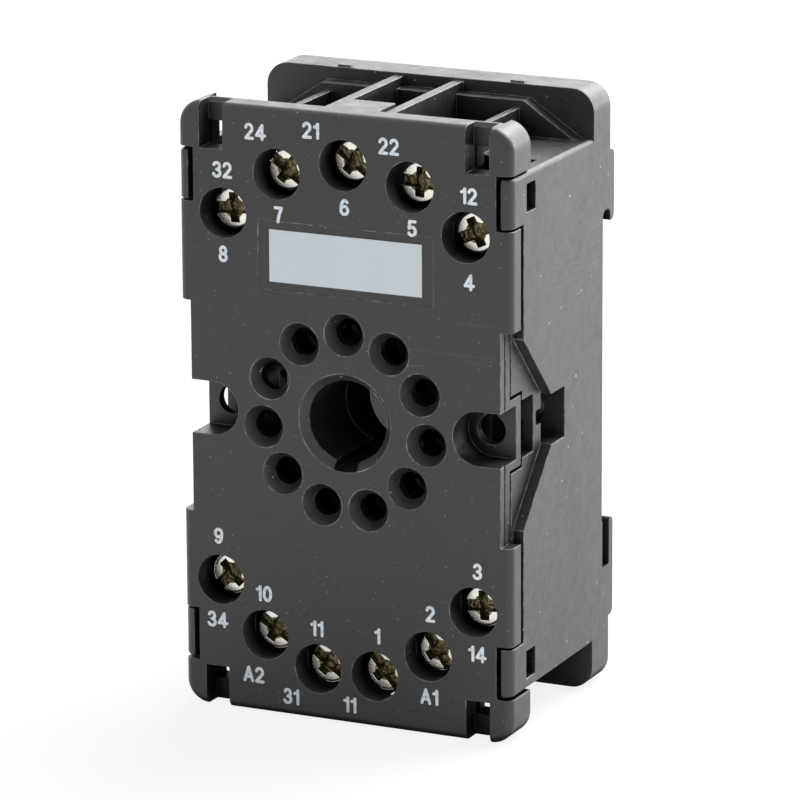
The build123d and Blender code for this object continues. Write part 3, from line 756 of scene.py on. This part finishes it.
def seen_directly(finish, to_camera=1.0, to_gloss=1.0):
    """The share of white that the camera sees, or a gloss or glass does; 0 for light that spreads."""
    camera, gloss, through = [finish.add("ShaderNodeLightPath", output=name)
                              for name in ("Is Camera Ray", "Is Glossy Ray", "Is Transmission Ray")]
    return camera * to_camera + (gloss + through) * to_gloss


def floor_finish(look):
    """Pale diffuse floor with plain white added where it is seen directly, so that it keeps shadows."""
    finish = Finish(bpy.data.materials.new("pale_floor"))
    patch = finish.noise(finish.place(), 0.4)
    colour = finish.mix(patch, rgba(look.floor_colour, 0.985), rgba(look.floor_colour))
    matt = finish.add("ShaderNodeBsdfDiffuse", None, {"Color": colour})
    white = finish.add("ShaderNodeEmission", None, {"Color": (1, 1, 1, 1), "Strength": 1.0})
    both = finish.add("ShaderNodeMixShader", None,
                      {0: seen_directly(finish, look.floor_glow, look.floor_gloss), 1: matt, 2: white})
    finish.add("ShaderNodeOutputMaterial", None, {"Surface": both})
    return finish.owner


def room_light(look):
    """Even light from all round, and plain white where the room is seen directly."""
    world = bpy.data.worlds.new("pale_room")
    finish = Finish(world)
    spread = finish.add("ShaderNodeBackground", None, {"Color": (1, 1, 1, 1), "Strength": look.world_level})
    white = finish.add("ShaderNodeBackground", None, {"Color": (1, 1, 1, 1), "Strength": 1.0})
    both = finish.add("ShaderNodeMixShader", None, {0: seen_directly(finish), 1: spread, 2: white})
    finish.add("ShaderNodeOutputWorld", None, {"Surface": both})
    bpy.context.scene.world = world


def soft_lamp(name, place, aim, size, power):
    """A flat lamp, size wide and high, at a place and facing the aim."""
    light = bpy.data.lights.new(name, "AREA")
    light.shape = "RECTANGLE"
    light.size, light.size_y = size
    light.energy = power
    lamp = bpy.data.objects.new(name, light)
    bpy.context.scene.collection.objects.link(lamp)
    lamp.visible_camera = False
    lamp.location = place
    lamp.rotation_euler = (Vector(aim) - Vector(place)).to_track_quat("-Z", "Y").to_euler()


class SOCKET_OT_stage(bpy.types.Operator):
    """Sets up the pale floor, the soft lamps and the camera"""

    bl_idname = "socket.stage"
    bl_label = "Stage"

    def execute(self, context):
        look = context.scene.socket_stage
        half = look.floor_side / 2
        mesh = bpy.data.meshes.new("floor")
        corners = [(-half, -half, 0), (half, -half, 0), (half, half, 0), (-half, half, 0)]
        mesh.from_pydata(corners, [], [(0, 1, 2, 3)])
        floor = new_piece("floor", mesh)
        paint(floor, floor_finish(look))
        room_light(look)
        for name, place, aim, size, power in LAMPS:
            soft_lamp(name, place, aim, size, getattr(look, power))

        lens = bpy.data.cameras.new("camera")
        lens.sensor_width = 36.0
        lens.lens = look.camera_lens
        lens.clip_start, lens.clip_end = 0.01, 20.0
        camera = bpy.data.objects.new("camera", lens)
        context.scene.collection.objects.link(camera)
        azimuth, elevation, roll = look.camera_azimuth, look.camera_elevation, look.camera_roll
        level = math.cos(elevation)
        forward = Vector((-math.sin(azimuth) * level, math.cos(azimuth) * level, -math.sin(elevation)))
        right = Vector((math.cos(azimuth), math.sin(azimuth), 0))
        up = right.cross(forward)
        turned_right = math.cos(roll) * right + math.sin(roll) * up
        turned_up = math.cos(roll) * up - math.sin(roll) * right
        turn = Matrix((turned_right, turned_up, -forward)).transposed().to_4x4()
        camera.matrix_world = Matrix.Translation(Vector(look.camera_place)) @ turn
        context.scene.camera = camera
        context.scene.view_settings.view_transform = "Standard"
        return {"FINISHED"}


class SOCKET_PT_panel(bpy.types.Panel):
    """Lists the steps that dress the socket"""

    bl_idname = "SOCKET_PT_panel"
    bl_label = "Screw Terminal Socket"
    bl_space_type = "VIEW_3D"
    bl_region_type = "UI"
    bl_category = "Socket"

    def draw(self, context):
        for step in STEPS:
            self.layout.operator(step.bl_idname)
        for name, group in GROUPS.items():
            box = self.layout.box()
            for field in group.__annotations__:
                box.prop(getattr(context.scene, name), field)


GROUPS = {
    "socket_plastic": SocketPlastic,
    "socket_printing": SocketPrinting,
    "socket_metals": SocketMetals,
    "socket_stage": SocketStage,
}
STEPS = (SOCKET_OT_mouldings, SOCKET_OT_printing, SOCKET_OT_label, SOCKET_OT_terminals,
         SOCKET_OT_rail_spring, SOCKET_OT_stage)


def register():
    """Adds the property groups, the steps and the panel."""
    for kind in (*GROUPS.values(), *STEPS, SOCKET_PT_panel):
        bpy.utils.register_class(kind)
    for name, group in GROUPS.items():
        setattr(bpy.types.Scene, name, bpy.props.PointerProperty(type=group))


def unregister():
    """Removes what register adds."""
    for name in GROUPS:
        delattr(bpy.types.Scene, name)
    for kind in (SOCKET_PT_panel, *reversed(STEPS), *reversed(GROUPS.values())):
        bpy.utils.unregister_class(kind)


def main():
    """Runs every step in order."""
    register()
    for step in STEPS:
        area, name = step.bl_idname.split(".")
        getattr(getattr(bpy.ops, area), name)()


if __name__ == "__main__":
    main()
